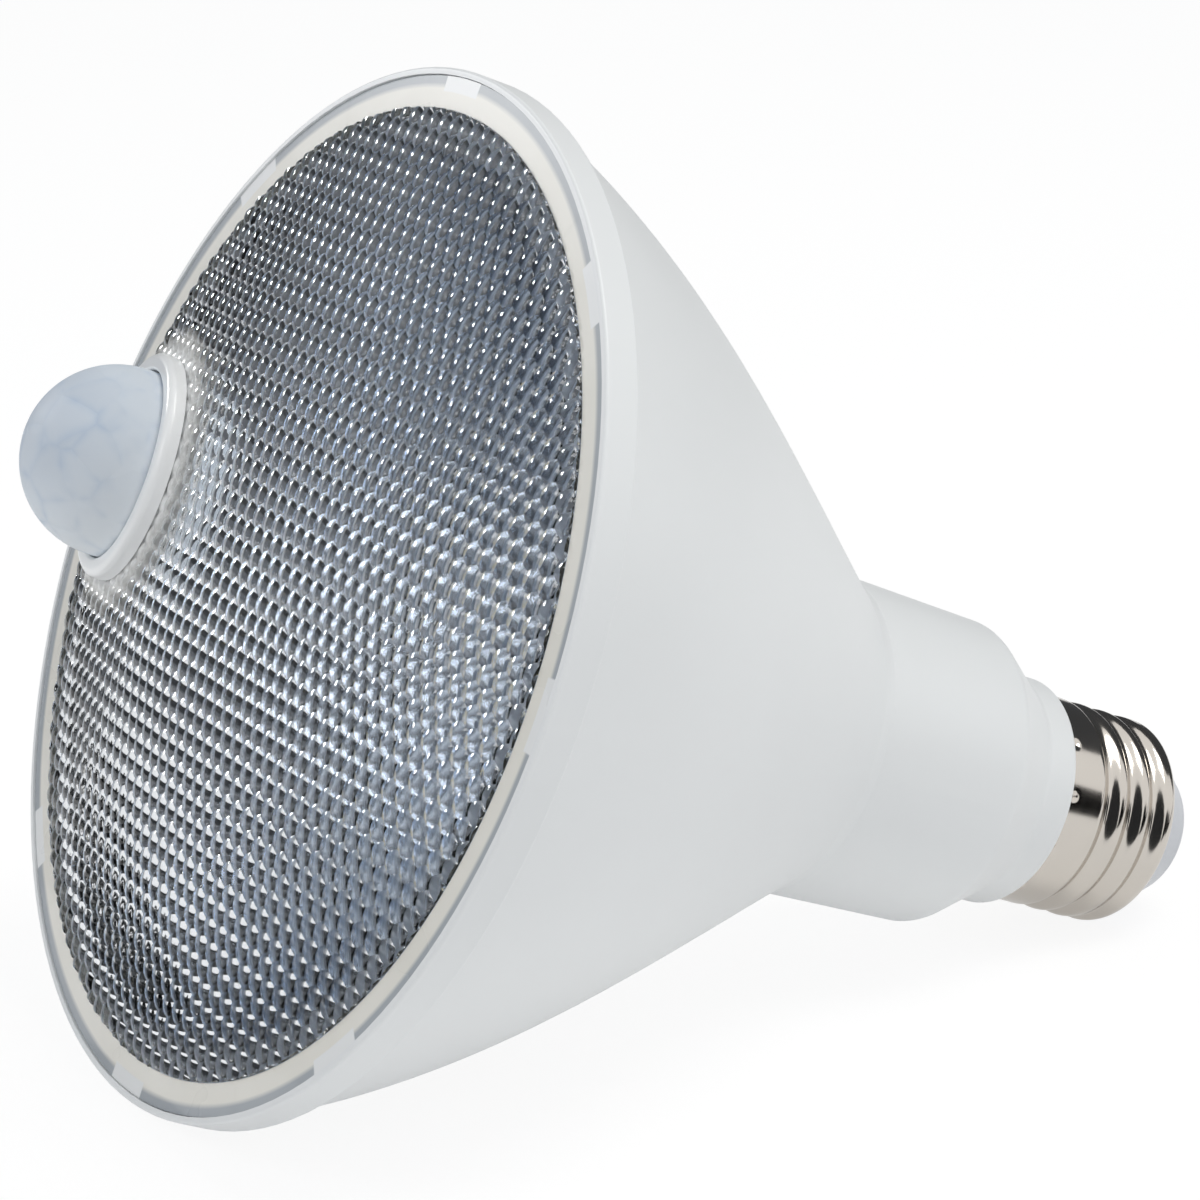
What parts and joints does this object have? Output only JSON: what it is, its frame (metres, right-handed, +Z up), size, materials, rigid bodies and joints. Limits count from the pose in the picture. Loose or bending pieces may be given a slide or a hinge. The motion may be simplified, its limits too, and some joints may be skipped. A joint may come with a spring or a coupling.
{
  "type": "par spotlight bulb",
  "caption": "Reflector flood lamp with a white bell housing, a pebbled clear lens, a frosted motion-sensor dome near the rim and a screw cap.",
  "frame": {"origin": "middle of the lamp's outline on the surface it lies on", "axes": "+Z up; the lens faces -Y and leans up, the screw cap points to +Y; the lamp rests on its rim band and the rolled end of its cap"},
  "size_m": [0.1206, 0.1444, 0.1131],
  "materials": {
    "housing_white": "satin",
    "cap_nickel": "polished",
    "insulator_white": "satin",
    "contact_metal": "satin",
    "lens_clear": "polished",
    "seal_ivory": "matte",
    "reflector_bright": "polished",
    "pod_white": "polished",
    "dome_frosted": "satin",
    "circuit_board": "satin",
    "can_metal": "satin",
    "window_dark": "polished",
    "cell_red": "polished",
    "chip_black": "matte",
    "cable_red": "satin",
    "sink_aluminium": "satin",
    "led_board_white": "satin",
    "led_yellow": "satin",
    "screw_steel": "satin",
    "ferrite": "matte",
    "coil_tape": "satin",
    "capacitor_sleeve": "satin",
    "resistor_body": "matte",
    "lead_black": "satin",
    "lead_white": "satin"
  },
  "bodies": {
    "root": {"housing": "housing_white", "driver_case": "housing_white", "screw_shell": "cap_nickel", "base_insulator": "insulator_white", "centre_contact": "contact_metal", "lens": "lens_clear", "lens_seal": "seal_ivory", "reflector": "reflector_bright", "sensor_pod": "pod_white", "sensor_dome": "dome_frosted", "sensor_board": "circuit_board", "sensor_can": "can_metal", "sensor_window": "window_dark", "light_cell": "cell_red", "sensor_chip": "chip_black", "sensor_cable": "cable_red", "heat_sink": "sink_aluminium", "led_board": "led_board_white", "led_chips": "led_yellow", "board_screws": "screw_steel", "driver_board": "circuit_board", "transformer_core": "ferrite", "transformer_coil": "coil_tape", "input_capacitor": "capacitor_sleeve", "output_capacitor": "capacitor_sleeve", "choke": "ferrite", "bridge_rectifier": "chip_black", "fuse_resistor": "resistor_body", "driver_chip": "chip_black", "board_pins": "contact_metal", "live_lead": "lead_black", "neutral_lead": "lead_white"}
  },
  "joints": []
}
